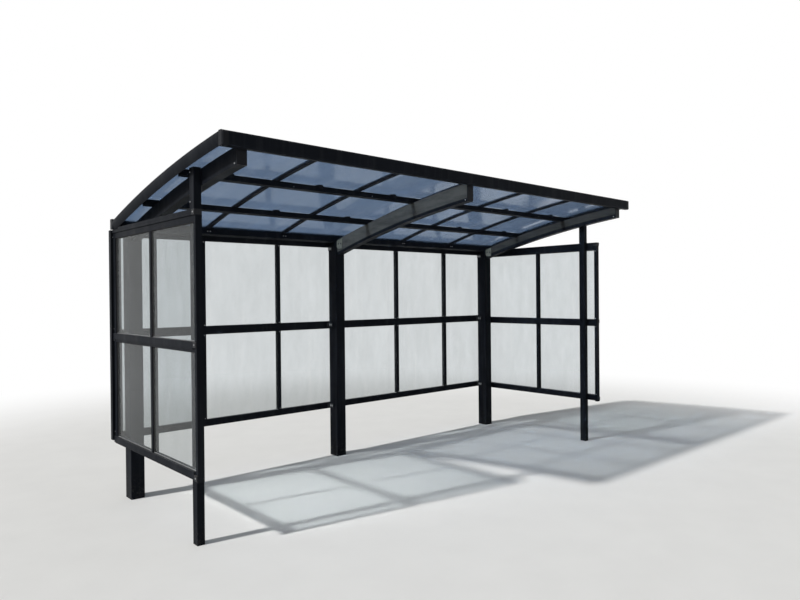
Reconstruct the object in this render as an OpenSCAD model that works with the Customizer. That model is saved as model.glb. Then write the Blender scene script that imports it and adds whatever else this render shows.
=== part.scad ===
// Cycle shelter of two bays: an arched roof falls to the rear on three columns and two front posts,
// with glazed frames closing both sides and the back. Millimetres, Z up, origin on the ground at the
// middle of the plan, X along the roof, front towards -Y.

/* [Overall] */
// Length of the roof over its side frames
roof_l = 4380; // [3400:10:5200]
// Depth from the front frame's face to the rear face of the back panel
shelter_d = 1884; // [1700:4:2200]
// Number of roof sheets along the roof, and of panes along the back
sheets = 6; // [4:1:8]

/* [Arch] */
// Radius of the beams' top line
arch_r = 10350; // [7000:50:14000]
// How far the arch's crown lies in front of the front frame's face
crown_ahead = 1046; // [600:10:1400]
// Height of the beams' top line above the columns' tops, at the rear frame's middle
head_rise = 67.5; // [60:0.5:80]

/* [Beams] */
// Width of a roof beam
beam_w = 65; // [50:1:80]
// Depth of the middle beam, square to the arch
beam_h = 136; // [110:1:160]
// Depth of an end beam, square to the arch
end_beam_h = 104; // [90:1:130]
// Height of the fine line along a beam's faces above its lower edge
beam_line_z = 20; // [12:1:30]
// Wall of a roof beam
beam_wall = 3; // [2:0.5:4]
// From the roof's end to the middle of an end beam
beam_inset = 143; // [120:1:160]
// Offset of the middle beam to the left of the roof's middle
middle_shift = 116; // [0:1:300]
// Thickness of the cap on a beam's front end
tip_cap_t = 6; // [3:1:10]

/* [Columns and posts] */
// Width of a rear column
column_w = 102; // [80:1:120]
// Depth of a rear column
column_d = 120; // [90:1:140]
// Wall of a rear column
column_wall = 3; // [2:0.5:5]
// Corner radius of a rear column
column_r = 6; // [2:1:12]
// Height of a rear column up to its cast head
column_h = 1990; // [1900:5:2000]
// Width of a front post
post_w = 50; // [40:1:60]
// Depth of a front post
post_d = 64; // [40:1:70]
// Wall of a front post
post_wall = 2.5; // [2:0.5:4]
// Corner radius of a front post
post_r = 4; // [2:1:8]
// Distance of the left post's front face behind the front frame's face
post_setback = 503; // [300:1:700]
// How much nearer to the front the right post stands
right_post_ahead = 60; // [0:5:100]
// Rise of a post above the beam beside it
post_rise = 6; // [2:1:20]
// Thickness of the cap on a post
post_cap_t = 5; // [3:1:8]

/* [Purlins and rear frame] */
// Width and height of a purlin's square section
purlin_w = 40; // [36:1:50]
// Width and height of the rear frame's square section
rear_frame_w = 48; // [40:1:56]
// Wall of a purlin and of the rear frame
purlin_wall = 2.5; // [2:0.5:4]
// Depth that a purlin is let into the beams
purlin_drop = 4; // [2:1:12]
// Distance of the rear frame's middle behind the rear columns' front faces
rear_frame_set = 34; // [30:1:44]
// Distance of the front purlin behind the front frame's face
purlin_front_y = 663; // [600:1:760]
// Distance of the rear purlin behind the front frame's face
purlin_rear_y = 1270; // [1150:1:1350]
// Width of the gutter behind the rear frame
gutter_w = 67; // [50:1:80]
// Height of the gutter's rear wall
gutter_h = 79; // [60:1:100]
// Wall of the gutter
gutter_wall = 2.5; // [2:0.5:4]
// Width of the lip on the gutter's rear wall
gutter_lip = 10; // [6:1:16]
// Height of the gutter's floor above the columns' tops
gutter_rise = 61; // [56:1:66]
// Gap between the gutter's floor and the back panel
gutter_gap = 3; // [1:1:8]
// Corner radius of the gutter's end caps
end_cap_r = 6; // [2:1:10]

/* [Roof sheets and bars] */
// Thickness of a roof sheet
sheet_t = 3; // [2:0.5:5]
// Width of a glazing bar
bar_w = 30; // [24:1:40]
// Height of a glazing bar below the sheets
bar_base_h = 12; // [8:1:18]
// Height of a glazing bar's cap above the sheets
bar_cap_h = 9; // [5:1:12]
// Width of the web between the sheets
bar_web_w = 6; // [4:1:10]
// Gap between a sheet's edge and what holds it
sheet_gap = 2; // [1:0.5:4]
// From the roof's end to the line that the end bars' pitch is counted from
end_line = 24; // [10:1:30]
// Reach of the bars behind the rear frame
bar_reach = 6; // [0:1:10]
// Reach of the sheets behind the bars, over the gutter
sheet_reach = 14; // [8:1:20]
// Depth that a sheet's edge enters a frame
sheet_bite = 8; // [5:1:12]
// Play of a sheet in a frame's slot, each way
slot_play = 1; // [0.5:0.5:2]

/* [Roof edge frames] */
// Depth of the front frame
front_d = 46; // [36:1:60]
// Height of the front frame
front_h = 88; // [80:1:110]
// Rise of the front frame above the beams' top line
front_rise = 70; // [62:1:76]
// Radius of the front frame's front edges
front_r = 18; // [8:1:22]
// Radius of the corner caps' upright edges
corner_r = 14; // [6:1:18]
// Width of a side frame
side_w = 40; // [36:1:44]
// Reach of a side frame's lower edge below the beams' top line
side_below = 6; // [4:1:8]
// Rise of a side frame above the beams' top line
side_above = 66; // [60:1:72]
// Radius of a side frame's bulging outer face
side_r = 90; // [80:5:120]
// Distance of a side frame's lower edge from its inner face
side_tip = 20; // [16:1:24]
// Rise of a side frame's inner face above the beams' top line
side_low = 15; // [10:1:20]
// Wall of the roof's edge frames
edge_wall = 2.5; // [2:0.5:4]

/* [Side and back panels] */
// Thickness of the panel frames
panel_t = 42; // [36:1:50]
// Height of the top rails
top_rail_h = 42; // [36:1:60]
// Height of the middle rails
mid_rail_h = 63; // [50:1:70]
// Height of the bottom rails
low_rail_h = 54; // [50:1:70]
// Clear height of a pane between two rails
pane_h = 720; // [600:2:740]
// How much lower the side panels stand than the back panel
side_drop = 22; // [14:1:28]
// Width of the cover rail on a side panel
cover_w = 50; // [44:1:54]
// Height of the cover rail on a side panel
cover_h = 35; // [30:1:44]
// Gap between a cover rail and the roof's side frame
cover_gap = 3; // [2:1:6]
// Width of the mullions
mullion_w = 30; // [26:1:45]
// Width of a side panel's front stile
front_stile_w = 28; // [24:1:50]
// Width of a side panel's rear stile
rear_stile_w = 48; // [36:1:60]
// Reach of a front stile below the bottom rail
stile_foot = 8; // [4:1:16]
// Distance of a side panel's front edge in front of the post
panel_ahead = 110; // [60:1:200]
// Wall of the panel frames
panel_wall = 2; // [1.5:0.5:3]
// Thickness of the panes
pane_t = 3; // [2:0.5:5]
// Depth of the glazing groove
groove_d = 9; // [6:1:12]
// Width of the glazing groove
groove_w = 6; // [5:0.5:10]
// Distance of a pane's middle from the face seen from the open front or from outside
pane_set = 12; // [10:0.5:21]
// Gap between a pane's edge and the bottom of its groove
pane_gap = 2; // [1:0.5:3]
// Width of the fine line along a rail's outer face
line_w = 2; // [1:0.5:3]
// Depth of the fine line along a rail's outer face
line_d = 1; // [0.5:0.1:1.2]

/* [Brackets] */
// Thickness of the rail brackets
bracket_t = 3; // [2:0.5:5]
// Length of a bracket's leg on a column
bracket_l = 56; // [40:1:60]
// Length of a bracket's leg on a rail
bracket_foot = 26; // [20:1:40]
// Height of a bracket
bracket_h = 36; // [24:1:40]
// Length of the end pieces on the side panels' rails
end_piece_l = 38; // [30:1:50]

/* [Hidden] */

frame_color = [0.10, 0.12, 0.14];
cap_color = [0.05, 0.05, 0.06];
sheet_color = [0.45, 0.52, 0.60, 0.55];
pane_color = [0.60, 0.64, 0.66, 0.35];
bracket_color = [0.55, 0.56, 0.57];

arch_fn = 720;
round_fn = 48;
face_n = 12;
face_a = 42;
over = 1;
far = 6000;

half_l = roof_l / 2;
front_y = -shelter_d / 2;
rear_y = shelter_d / 2;
crown_y = front_y - crown_ahead;

front_back_y = front_y + front_d;
back_panel_y = rear_y - panel_t;
column_y = back_panel_y - column_d;
rear_frame_y = column_y + rear_frame_set;
arch_cz = column_h + head_rise - sqrt(pow(arch_r, 2) - pow(rear_frame_y - crown_y, 2));

beam_x = half_l - beam_inset;
beam_xs = [-beam_x, -middle_shift, beam_x];
beam_hs = [end_beam_h, beam_h, end_beam_h];
post_x = beam_x + beam_w / 2 + post_w / 2;
panel_in = post_x + post_w / 2;
panel_out = panel_in + panel_t;
side_in = half_l - side_w;

bar_bottom = purlin_w - purlin_drop;
sheet_bottom = bar_bottom + bar_base_h;
sheet_top = sheet_bottom + sheet_t;
pitch = (roof_l - 2 * end_line) / sheets;
bar_rear_y = rear_frame_y + rear_frame_w / 2 + bar_reach;
sheet_rear_y = bar_rear_y + sheet_reach;
end_cap_y = sheet_rear_y + sheet_gap;

rear_tilt = 90 - arc_angle(rear_frame_y);
gutter_z = column_h + gutter_rise;
gutter_back_y = rear_frame_y + rear_frame_w / 2 + gutter_w + bar_bottom * sin(rear_tilt) - gutter_lip;

panel_h = low_rail_h + mid_rail_h + top_rail_h + 2 * pane_h;
back_top = gutter_z - gutter_gap;
back_z = back_top - panel_h;
side_top = back_top - side_drop;
side_z = side_top - panel_h;
cover_end_y = crown_y + sqrt(pow(arch_r, 2)
  - pow(side_top + cover_h + cover_gap + side_below - arch_cz, 2));
side_pane_at = panel_t - pane_set;
end_stile_w = end_line + mullion_w / 2;

// Depth of a post's front face, and of a side panel's front edge
function post_y(side) = front_y + post_setback - (side > 0 ? right_post_ahead : 0);
function side_panel_y(side) = post_y(side) - panel_ahead;

// Depth of a side panel, and clear depth of each of its panes
function side_panel_l(side) = back_panel_y - side_panel_y(side);
function side_clear(side) = (side_panel_l(side) - front_stile_w - rear_stile_w - mullion_w) / 2;

// Heights in a panel that stands at z: undersides of the middle rail, the top rail and both panes
function mid_z(z) = z + low_rail_h + pane_h;
function top_z(z) = mid_z(z) + mid_rail_h + pane_h;
function tier_zs(z) = [z + low_rail_h, mid_z(z) + mid_rail_h];

// Height of the arch at a depth, raised square to it by off
function arc_z(y, off = 0) = arch_cz + sqrt(pow(arch_r + off, 2) - pow(y - crown_y, 2));

// Angle of the arch's radius at a depth, from the level
function arc_angle(y) = acos((y - crown_y) / arch_r);

// Bar bent along the arch between two depths with plumb ends, its section drawn as [rise, across]
// and at most reach from the beams' top line
module arch_bar(y0, y1, reach) {
  spare = reach * tan(90 - arc_angle(y1)) + over;
  a0 = arc_angle(y0 - spare);
  a1 = arc_angle(y1 + spare);
  intersection() {
    translate([0, crown_y, arch_cz])
      rotate([90, 0, 90])
        rotate([0, 0, a1])
          rotate_extrude(angle = a0 - a1, $fn = arch_fn)
            translate([arch_r, 0])
              children();
    translate([-far / 2, y0, 0])
      cube([far, y1 - y0, far]);
  }
}

// Places children square to the arch at a depth, with their zero on the beams' top line
module on_arch(y) {
  translate([0, crown_y, arch_cz])
    rotate([arc_angle(y) - 90, 0, 0])
      translate([0, 0, arch_r])
        children();
}

// Rectangle with round corners, from the origin
module round_rect(w, h, r) {
  union() {
    translate([r, 0])
      square([w - 2 * r, h]);
    translate([0, r])
      square([w, h - 2 * r]);
    for (x = [r, w - r], y = [r, h - r])
      translate([x, y])
        circle(r, $fn = round_fn);
  }
}

// Hollow upright with round corners
module hollow_post(w, d, wall, r, h) {
  linear_extrude(h)
    difference() {
      round_rect(w, d, r);
      translate([wall, wall])
        round_rect(w - 2 * wall, d - 2 * wall, r - wall / 2);
    }
}

// Rear columns
module column(x) {
  color(frame_color)
    translate([x - column_w / 2, column_y, 0])
      hollow_post(column_w, column_d, column_wall, column_r, column_h);
}
module column_left() { column(beam_xs[0]); }
module column_middle() { column(beam_xs[1]); }
module column_right() { column(beam_xs[2]); }

// Rise of the flat top of a square section of width w whose edges touch the bars' underside
function seat_top(w) = sqrt(pow(arch_r + bar_bottom, 2) - pow(w / 2, 2)) - arch_r;

// Cast heads on the columns, their tops sloped to seat the rear frame
module column_heads() {
  color(frame_color)
    for (x = beam_xs)
      difference() {
        translate([x - column_w / 2, column_y, column_h])
          linear_extrude(2 * rear_frame_w)
            round_rect(column_w, column_d, column_r);
        on_arch(rear_frame_y)
          translate([x - column_w, -column_d, seat_top(rear_frame_w) - rear_frame_w])
            cube([2 * column_w, 2 * column_d, 4 * rear_frame_w]);
      }
}

// Front support posts
function post_h(side) = arc_z(post_y(side) + post_d / 2) + post_rise;
module support_post(side) {
  color(frame_color)
    translate([side * post_x - post_w / 2, post_y(side), 0])
      hollow_post(post_w, post_d, post_wall, post_r, post_h(side));
}
module support_post_left() { support_post(-1); }
module support_post_right() { support_post(1); }

module post_caps() {
  color(cap_color)
    for (side = [-1, 1])
      translate([side * post_x - post_w / 2, post_y(side), post_h(side)])
        linear_extrude(post_cap_t)
          round_rect(post_w, post_d, post_r);
}

// Hollow section of a roof beam of depth h with a fine line along both side faces, drawn as
// [rise, across]
module beam_section(h) {
  difference() {
    square([h, beam_w]);
    translate([beam_wall, beam_wall])
      square([h - 2 * beam_wall, beam_w - 2 * beam_wall]);
    for (across = [-over, beam_w - line_d])
      translate([beam_line_z, across])
        square([line_w, line_d + over]);
  }
}

// Arched roof beams, notched for the purlins
module roof_beam(i) {
  color(frame_color)
    difference() {
      arch_bar(front_back_y + tip_cap_t, column_y, beam_hs[i])
        translate([-beam_hs[i], beam_xs[i] - beam_w / 2])
          beam_section(beam_hs[i]);
      for (y = [purlin_front_y, purlin_rear_y])
        on_arch(front_y + y)
          translate([beam_xs[i] - beam_w / 2 - over, -purlin_w / 2, seat_top(purlin_w) - purlin_w])
            cube([beam_w + 2 * over, purlin_w, purlin_w]);
    }
}
module roof_beam_left() { roof_beam(0); }
module roof_beam_middle() { roof_beam(1); }
module roof_beam_right() { roof_beam(2); }

module beam_tip_caps() {
  color(cap_color)
    for (i = [0:2])
      arch_bar(front_back_y, front_back_y + tip_cap_t, beam_hs[i])
        translate([-beam_hs[i], beam_xs[i] - beam_w / 2])
          square([beam_hs[i], beam_w]);
}

// Square hollow section of width w, its top at the origin's height, drawn as [depth, height]
module square_tube(w) {
  difference() {
    translate([-w / 2, -w])
      square(w);
    translate([purlin_wall - w / 2, purlin_wall - w])
      square(w - 2 * purlin_wall);
  }
}

module purlin(y) {
  color(frame_color)
    on_arch(front_y + y)
      translate([-side_in, 0, seat_top(purlin_w)])
        rotate([90, 0, 90])
          linear_extrude(2 * side_in)
            square_tube(purlin_w);
}
module purlin_front() { purlin(purlin_front_y); }
module purlin_rear() { purlin(purlin_rear_y); }

// Depth of the rear frame's sloping rear face at a height
function rear_face_y(z) =
  crown_y + (z - arch_cz + rear_frame_w / 2 * sin(rear_tilt)) * tan(rear_tilt)
  + rear_frame_w / 2 * cos(rear_tilt);

// Rear frame with the gutter in one extrusion
module rear_frame_gutter() {
  floor_y = rear_face_y(gutter_z) - purlin_wall / 2;
  color(frame_color)
    translate([-panel_in, 0, 0])
      rotate([90, 0, 90])
        linear_extrude(2 * panel_in)
          union() {
            translate([crown_y, arch_cz])
              rotate(-rear_tilt)
                translate([0, arch_r + seat_top(rear_frame_w)])
                  square_tube(rear_frame_w);
            translate([floor_y, gutter_z])
              square([gutter_back_y - floor_y, gutter_wall]);
            translate([gutter_back_y - gutter_wall, gutter_z])
              square([gutter_wall, gutter_h]);
            translate([gutter_back_y - gutter_lip, gutter_z + gutter_h - gutter_wall])
              square([gutter_lip, gutter_wall]);
          }
}

// Blocks that close the ends of the rear frame and gutter, each with a round cap behind the side frame
module gutter_end_caps() {
  y0 = rear_frame_y - rear_frame_w / 2;
  gutter_top = gutter_z + gutter_h;
  color(cap_color)
    for (side = [0, 1])
      mirror([side, 0, 0])
        union() {
          translate([panel_in, 0, 0])
            rotate([90, 0, 90])
              linear_extrude(side_in - panel_in)
                polygon([[y0, gutter_z], [gutter_back_y, gutter_z], [gutter_back_y, gutter_top],
                  [end_cap_y, gutter_top], [end_cap_y, arc_z(end_cap_y, bar_bottom)],
                  [y0, arc_z(y0, bar_bottom)]]);
          translate([side_in, end_cap_y, gutter_z])
            rotate([90, 0, 90])
              linear_extrude(side_w)
                round_rect(gutter_back_y - end_cap_y, gutter_h, end_cap_r);
        }
}

// Outline of the front frame, drawn as [depth, height]
module front_outline(inset = 0) {
  r = front_r - inset;
  translate([front_y + inset, arc_z(front_back_y, front_rise) - front_h + inset])
    union() {
      translate([r, 0])
        square([front_d - 2 * inset - r, front_h - 2 * inset]);
      translate([0, r])
        square([r, front_h - 2 * inset - 2 * r]);
      for (z = [r, front_h - 2 * inset - r])
        translate([r, z])
          circle(r, $fn = round_fn);
    }
}

// Point of a side frame's bulging face of radius r, at an angle from the level of the sheets
function face_point(r, a) = [sheet_bottom + r * sin(a), half_l - side_r + r * cos(a)];

// Outline of a side frame, drawn as [rise, across], its outer face bulging to the roof's end in
// narrow flats and its lower face sloping up to the inner face
module side_outline(inset = 0) {
  r = side_r - inset;
  flats = [for (i = [0:face_n]) face_point(r, (2 * i / face_n - 1) * face_a)];
  difference() {
    intersection() {
      translate([inset - side_below, side_in + inset])
        square([side_below + side_above - 2 * inset, side_w]);
      polygon(concat(flats, [[flats[face_n][0], side_in - over], [flats[0][0], side_in - over]]));
    }
    translate([side_low, side_in])
      rotate(atan2(side_tip, -side_low - side_below))
        translate([-side_w, -inset])
          square([3 * side_w, side_w]);
  }
}

module front_frame() {
  slot_z = arc_z(front_back_y, sheet_bottom);
  color(frame_color)
    difference() {
      translate([-side_in, 0, 0])
        rotate([90, 0, 90])
          linear_extrude(2 * side_in)
            difference() {
              front_outline();
              front_outline(edge_wall);
            }
      translate([-side_in - over, front_back_y - edge_wall - over, slot_z - slot_play])
        cube([2 * side_in + 2 * over, edge_wall + 2 * over, sheet_t + 3 * slot_play]);
    }
}

module front_corner_caps() {
  color(cap_color)
    for (side = [0, 1])
      mirror([side, 0, 0])
        intersection() {
          translate([side_in, 0, 0])
            rotate([90, 0, 90])
              linear_extrude(side_w)
                front_outline();
          translate([side_in, front_y, 0])
            linear_extrude(far)
              union() {
                square([side_w - corner_r, front_d]);
                translate([0, corner_r])
                  square([side_w, front_d - corner_r]);
                translate([side_w - corner_r, corner_r])
                  circle(corner_r, $fn = round_fn);
              }
        }
}

// Hollow side frame with a slot for the sheets, its rear end cut level above the side panel
module roof_side_frame() {
  color(frame_color)
    difference() {
      arch_bar(front_back_y, end_cap_y, side_above)
        difference() {
          side_outline();
          side_outline(edge_wall);
          translate([sheet_bottom, side_in - over])
            square([sheet_t, edge_wall + 2 * over]);
        }
      translate([0, -far / 2, gutter_z - far])
        cube(far);
    }
}
module roof_side_frame_left() { mirror([1, 0, 0]) roof_side_frame(); }
module roof_side_frame_right() { roof_side_frame(); }

module glazing_bars() {
  color(frame_color)
    for (i = [1:sheets - 1])
      translate([(i - sheets / 2) * pitch, 0, 0])
        arch_bar(front_back_y, bar_rear_y, sheet_top + bar_cap_h)
          union() {
            translate([bar_bottom, -bar_w / 2])
              square([bar_base_h, bar_w]);
            translate([sheet_bottom, -bar_web_w / 2])
              square([sheet_t, bar_web_w]);
            translate([sheet_top, -bar_w / 2])
              square([bar_cap_h, bar_w]);
          }
}

// Roof sheet between two lines of bars, or between a bar and a side frame
module roof_sheet(i) {
  edge = bar_web_w / 2 + sheet_gap;
  x0 = i == 0 ? -side_in - sheet_bite : (i - sheets / 2) * pitch + edge;
  x1 = i == sheets - 1 ? side_in + sheet_bite : (i + 1 - sheets / 2) * pitch - edge;
  arch_bar(front_back_y - sheet_bite, sheet_rear_y, sheet_top)
    translate([sheet_bottom, x0])
      square([sheet_t, x1 - x0]);
}
half_sheets = floor(sheets / 2);
module roof_sheets_left() {
  color(sheet_color)
    for (i = [0:half_sheets - 1])
      roof_sheet(i);
}
module roof_sheets_right() {
  color(sheet_color)
    for (i = [half_sheets:sheets - 1])
      roof_sheet(i);
}

// Hollow panel section of height h, with glazing grooves in the faces asked for, at a distance
// from the inner face, and on a rail with a fine line along the outer face
module panel_section(h, groove_low, groove_high, at, lined = false) {
  difference() {
    square([panel_t, h]);
    difference() {
      translate([panel_wall, panel_wall])
        square([panel_t - 2 * panel_wall, h - 2 * panel_wall]);
      if (groove_low)
        translate([at - groove_w / 2 - panel_wall, 0])
          square([groove_w + 2 * panel_wall, groove_d + panel_wall]);
      if (groove_high)
        translate([at - groove_w / 2 - panel_wall, h - groove_d - panel_wall])
          square([groove_w + 2 * panel_wall, groove_d + panel_wall]);
    }
    if (groove_low)
      translate([at - groove_w / 2, -over])
        square([groove_w, groove_d + over]);
    if (groove_high)
      translate([at - groove_w / 2, h - groove_d])
        square([groove_w, groove_d + over]);
    if (lined)
      translate([panel_t - line_d, (h - line_w) / 2])
        square([line_d + over, line_w]);
  }
}

// Rail along +Y from the origin
module rail(l, h, groove_low, groove_high, at) {
  translate([0, l, 0])
    rotate([90, 0, 0])
      linear_extrude(l)
        panel_section(h, groove_low, groove_high, at, true);
}

// Upright along +Z from the origin, its width along +Y
module upright(w, h, groove_low, groove_high, at) {
  linear_extrude(h)
    panel_section(w, groove_low, groove_high, at);
}

// Three rails of length l along +Y, of a panel that stands at z
module three_rails(l, z, at) {
  translate([0, 0, z])
    rail(l, low_rail_h, false, true, at);
  translate([0, 0, mid_z(z)])
    rail(l, mid_rail_h, true, true, at);
  translate([0, 0, top_z(z)])
    rail(l, top_rail_h, true, false, at);
}

// Pane with its edges in the grooves, over a clear opening of width l along +Y from the origin
module pane(l, at) {
  bite = groove_d - pane_gap;
  translate([at - pane_t / 2, -bite, -bite])
    cube([pane_t, l + 2 * bite, pane_h + 2 * bite]);
}

// Places a side panel drawn from its inner face outwards, and from its front edge backwards
module at_side(side) {
  mirror([side < 0 ? 1 : 0, 0, 0])
    translate([panel_in, side_panel_y(side), 0])
      children();
}

// Hollow cover rail of length l along +Y and height h, with a fine line at half its full height
module cover_rail(l, h) {
  translate([0, l, 0])
    rotate([90, 0, 0])
      linear_extrude(l)
        difference() {
          square([cover_w, h]);
          translate([panel_wall, panel_wall])
            square([cover_w - 2 * panel_wall, h - 2 * panel_wall]);
          if (h == cover_h)
            translate([cover_w - line_d, (h - line_w) / 2])
              square([line_d + over, line_w]);
        }
}

// Rails of a side panel and the cover rail on them, which is lower under the roof's side frame
module side_rails(side) {
  cover_l = cover_end_y - side_panel_y(side);
  translate([0, front_stile_w, 0])
    three_rails(side_panel_l(side) - front_stile_w - rear_stile_w, side_z, side_pane_at);
  translate([0, end_piece_l, side_top])
    cover_rail(cover_l - end_piece_l, cover_h);
  translate([0, cover_l, side_top])
    cover_rail(side_panel_l(side) - cover_l, back_top - side_top);
}

module side_uprights(side) {
  translate([0, 0, side_z - stile_foot])
    upright(front_stile_w, panel_h + stile_foot, false, true, side_pane_at);
  translate([0, side_panel_l(side) - rear_stile_w, side_z])
    upright(rear_stile_w, panel_h, true, false, side_pane_at);
  for (z = tier_zs(side_z))
    translate([0, front_stile_w + side_clear(side), z])
      upright(mullion_w, pane_h, true, true, side_pane_at);
}

module side_panes(side) {
  for (i = [0, 1], z = tier_zs(side_z))
    translate([0, front_stile_w + i * (side_clear(side) + mullion_w), z])
      pane(side_clear(side), side_pane_at);
}

module left_panel_rails() { color(frame_color) at_side(-1) side_rails(-1); }
module left_panel_uprights() { color(frame_color) at_side(-1) side_uprights(-1); }
module left_panel_panes() { color(pane_color) at_side(-1) side_panes(-1); }
module right_panel_rails() { color(frame_color) at_side(1) side_rails(1); }
module right_panel_uprights() { color(frame_color) at_side(1) side_uprights(1); }
module right_panel_panes() { color(pane_color) at_side(1) side_panes(1); }

// Places the back panel drawn along +Y from its right end, inner face forwards
module at_back() {
  translate([half_l, back_panel_y, 0])
    rotate([0, 0, 90])
      children();
}

module back_panel_rails() {
  color(frame_color)
    at_back()
      translate([0, end_stile_w, 0])
        three_rails(roof_l - 2 * end_stile_w, back_z, pane_set);
}

// End stiles, and mullions in line with the glazing bars
module back_panel_uprights() {
  color(frame_color)
    at_back() {
      translate([0, 0, back_z])
        upright(end_stile_w, panel_h, false, true, pane_set);
      translate([0, roof_l - end_stile_w, back_z])
        upright(end_stile_w, panel_h, true, false, pane_set);
      for (i = [1:sheets - 1], z = tier_zs(back_z))
        translate([0, end_line + i * pitch - mullion_w / 2, z])
          upright(mullion_w, pane_h, true, true, pane_set);
    }
}

module back_panes(z) {
  color(pane_color)
    at_back()
      for (i = [0:sheets - 1])
        translate([0, end_stile_w + i * pitch, z])
          pane(pitch - mullion_w, pane_set);
}
module back_panel_panes_lower() { back_panes(tier_zs(back_z)[0]); }
module back_panel_panes_upper() { back_panes(tier_zs(back_z)[1]); }

// Angle bracket from a column's side face to the front of a rail behind it, towards +X
module angle_bracket() {
  translate([0, back_panel_y - bracket_l, 0])
    cube([bracket_t, bracket_l, bracket_h]);
  translate([0, back_panel_y - bracket_t, 0])
    cube([bracket_foot, bracket_t, bracket_h]);
}

// Angle bracket from a column's side face to the underside of the top rail, towards +X
module under_bracket() {
  translate([0, back_panel_y - bracket_l, -bracket_h])
    cube([bracket_t, bracket_l, bracket_h]);
  translate([0, back_panel_y - bracket_l, -bracket_t])
    cube([bracket_foot, bracket_l + panel_t / 2, bracket_t]);
}

// Columns' side faces that carry the back panel, each as [column, direction]
bracket_faces = [[0, 1], [1, -1], [1, 1], [2, -1]];

// Brackets between the columns and panels, and end pieces on the side panels' rails
module rail_brackets() {
  spacer_l = panel_in - beam_x - column_w / 2;
  low_rise = (low_rail_h - bracket_h) / 2;
  mid_rise = (mid_rail_h - bracket_h) / 2;
  top_rise = (top_rail_h - bracket_h) / 2;
  color(bracket_color) {
    for (face = bracket_faces)
      translate([beam_xs[face[0]] + face[1] * column_w / 2, 0, 0])
        mirror([face[1] < 0 ? 1 : 0, 0, 0]) {
          for (z = [back_z + low_rise, mid_z(back_z) + mid_rise])
            translate([0, 0, z])
              angle_bracket();
          translate([0, 0, top_z(back_z)])
            under_bracket();
        }
    for (side = [0, 1], z = [side_z + low_rise, mid_z(side_z) + mid_rise, top_z(side_z) + top_rise])
      mirror([side, 0, 0])
        translate([beam_x + column_w / 2, column_y + column_d / 2 - bracket_foot, z])
          cube([spacer_l, bracket_foot, bracket_h]);
    for (side = [-1, 1])
      at_side(side) {
        translate([0, 0, side_top])
          cube([cover_w, end_piece_l, cover_h]);
        for (z = [side_z, mid_z(side_z) + mid_rail_h - bracket_h])
          translate([panel_t, 0, z])
            cube([cover_w - panel_t, end_piece_l, bracket_h]);
      }
  }
}

column_left();
column_middle();
column_right();
column_heads();
support_post_left();
support_post_right();
post_caps();
roof_beam_left();
roof_beam_middle();
roof_beam_right();
beam_tip_caps();
purlin_front();
purlin_rear();
rear_frame_gutter();
gutter_end_caps();
front_frame();
front_corner_caps();
roof_side_frame_left();
roof_side_frame_right();
glazing_bars();
roof_sheets_left();
roof_sheets_right();
left_panel_rails();
left_panel_uprights();
left_panel_panes();
right_panel_rails();
right_panel_uprights();
right_panel_panes();
back_panel_rails();
back_panel_uprights();
back_panel_panes_upper();
back_panel_panes_lower();
rail_brackets();
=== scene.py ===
import math

import bmesh
import bpy
from bpy.props import FloatProperty, FloatVectorProperty, IntProperty, PointerProperty
from mathutils import Matrix, Vector


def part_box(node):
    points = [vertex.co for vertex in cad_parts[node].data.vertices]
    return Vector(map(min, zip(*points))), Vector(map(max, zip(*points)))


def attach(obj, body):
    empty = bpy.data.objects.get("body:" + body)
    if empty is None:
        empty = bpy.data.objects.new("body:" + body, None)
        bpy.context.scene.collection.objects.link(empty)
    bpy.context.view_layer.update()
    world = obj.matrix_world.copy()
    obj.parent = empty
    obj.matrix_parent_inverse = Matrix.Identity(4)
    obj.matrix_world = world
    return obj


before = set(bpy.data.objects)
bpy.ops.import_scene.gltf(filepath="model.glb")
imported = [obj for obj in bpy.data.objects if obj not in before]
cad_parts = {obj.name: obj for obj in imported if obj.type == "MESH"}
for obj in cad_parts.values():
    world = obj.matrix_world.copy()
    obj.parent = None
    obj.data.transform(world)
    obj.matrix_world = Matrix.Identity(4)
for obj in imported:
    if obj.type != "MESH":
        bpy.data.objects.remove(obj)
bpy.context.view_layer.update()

bl_info = {
    "name": "Bike shelter finish",
    "version": (1, 0, 0),
    "blender": (4, 5, 0),
    "location": "View3D > Sidebar > Shelter",
    "description": "Finishes, screws and seals of an arched bike shelter, with its studio",
    "category": "Object",
}

# Nodes of the frame by finish

BEAMS = ("roof_beam_left", "roof_beam_middle", "roof_beam_right")
COLUMNS = ("column_left", "column_middle", "column_right")
PURLINS = ("purlin_front", "purlin_rear")
FRAME_NODES = COLUMNS + BEAMS + PURLINS + (
    "column_heads", "support_post_left", "support_post_right",
    "rear_frame_gutter", "front_frame",
    "roof_side_frame_left", "roof_side_frame_right", "glazing_bars",
    "left_panel_rails", "left_panel_uprights",
    "right_panel_rails", "right_panel_uprights",
    "back_panel_rails", "back_panel_uprights",
)
CAP_NODES = ("post_caps", "beam_tip_caps", "gutter_end_caps", "front_corner_caps")
SHEET_NODES = ("roof_sheets_left", "roof_sheets_right")
SIDE_PANE_NODES = ("left_panel_panes", "right_panel_panes")
BACK_PANE_NODES = ("back_panel_panes_upper", "back_panel_panes_lower")
BRACKET_NODES = ("rail_brackets",)

# The roof's arch, in the frame's own metres: the line along the beams' tops
ARCH_RADIUS = 10.350
ARCH_Y = -1.988
ARCH_Z = -7.906

# Rises above that line
PURLIN_TOP = 0.036
SHEET_UNDER = 0.048
SHEET_OVER = 0.051
BAR_TOP = 0.060

# Sections that follow it, and the rear frame's place
BEAM_DEPTHS = (0.104, 0.136, 0.104)
PURLIN_WIDTH = 0.040
REAR_FRAME_WIDTH = 0.048
REAR_FRAME_Y = 0.814

# How far the panes reach into their frames
PANE_BITE = 0.007

# How far the painted light on two beams' side faces reaches below their top line
MIDDLE_BEAM_LIGHT_DEPTH = 0.112
RIGHT_BEAM_LIGHT_DEPTH = 0.072

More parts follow.
